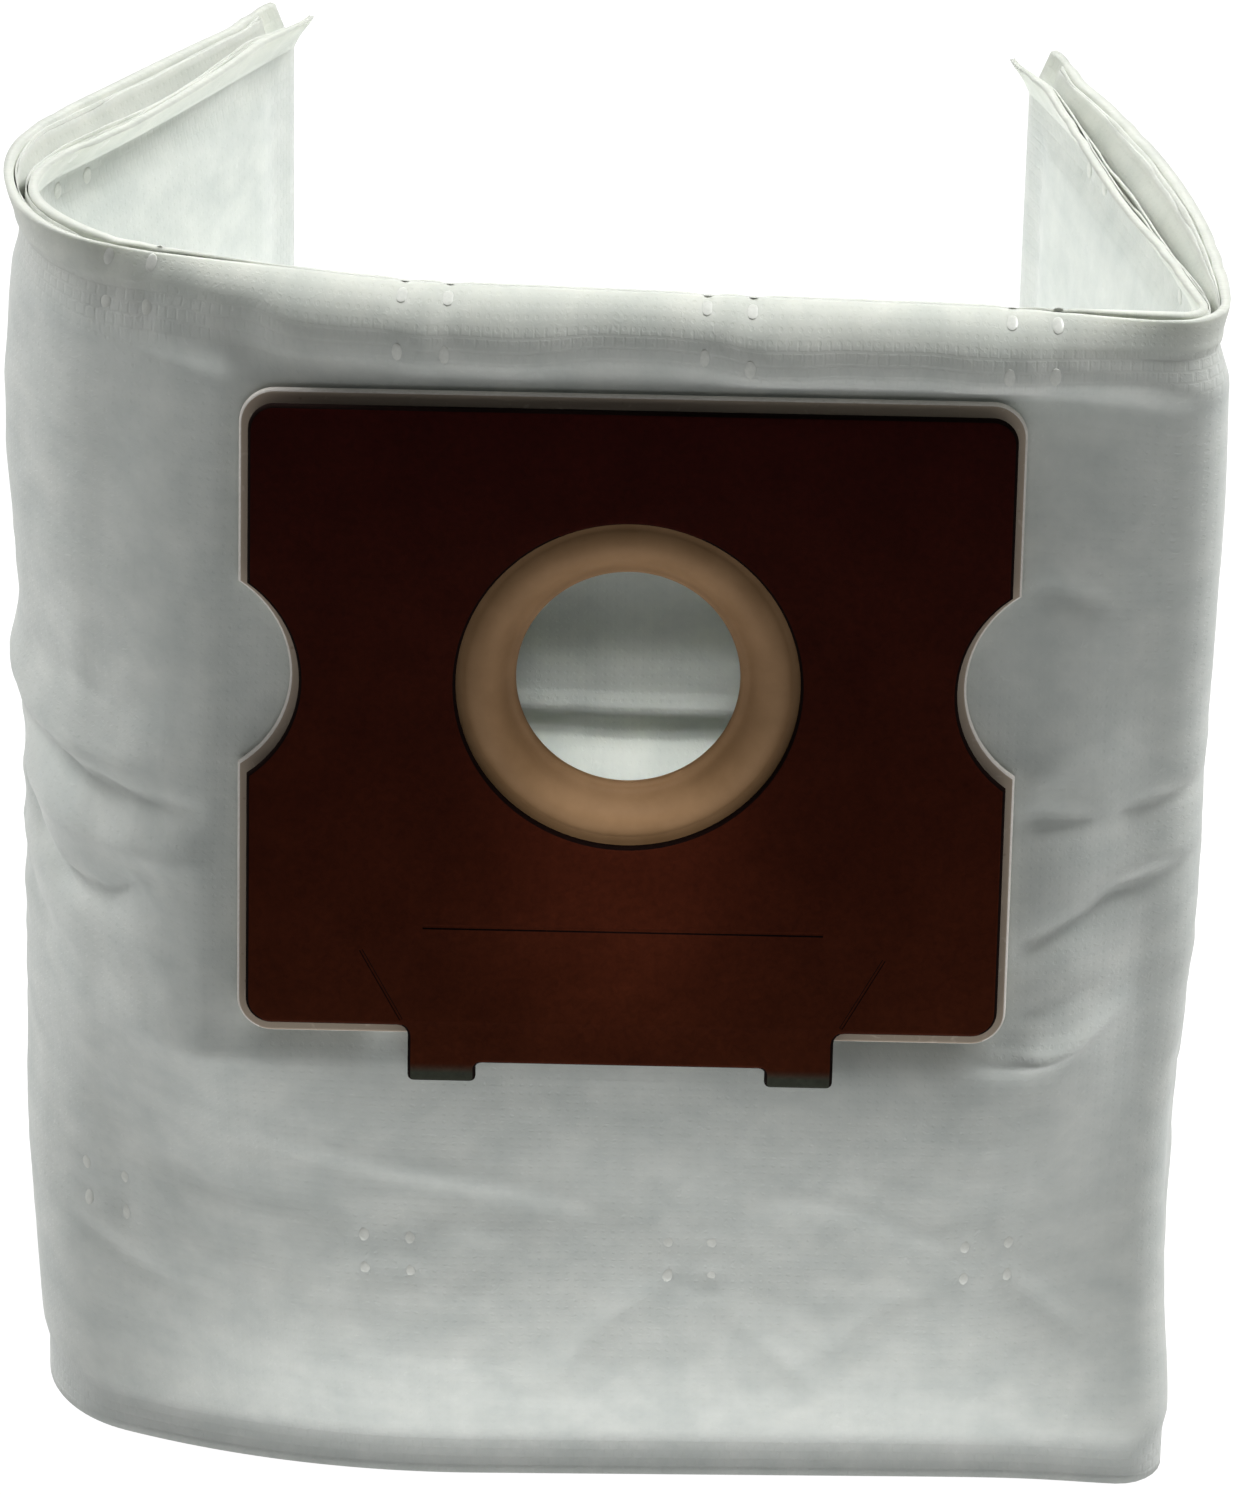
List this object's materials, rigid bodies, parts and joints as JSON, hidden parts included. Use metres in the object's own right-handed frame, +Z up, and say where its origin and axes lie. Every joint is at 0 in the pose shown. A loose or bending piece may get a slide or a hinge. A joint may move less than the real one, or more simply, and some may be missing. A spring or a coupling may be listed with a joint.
{
  "type": "vacuum cleaner dust bag",
  "caption": "Two-sheet non-woven dust bag, stood up with its ends folded back, with a notched card collar and a rubber seal round its inlet.",
  "frame": {"origin": "centre of the footprint, on the surface that the bag stands on", "axes": "+Z up, from the lower edge to the upper edge; the collar faces -Y and the two folded ends point towards +Y; +X is to the right as the collar is looked at"},
  "size_m": [0.1784, 0.1162, 0.2],
  "materials": {
    "fabric": "white spun-bonded non-woven, matt",
    "raw_card": "uncoated grey-brown board",
    "seal_rubber": "matt tan rubber",
    "brown_card": "smooth dark brown printed board"
  },
  "bodies": {
    "root": {"front_sheet": "fabric", "back_sheet": "fabric", "collar_backing": "raw_card", "seal_ring": "seal_rubber", "collar_plate": "brown_card"}
  },
  "joints": []
}
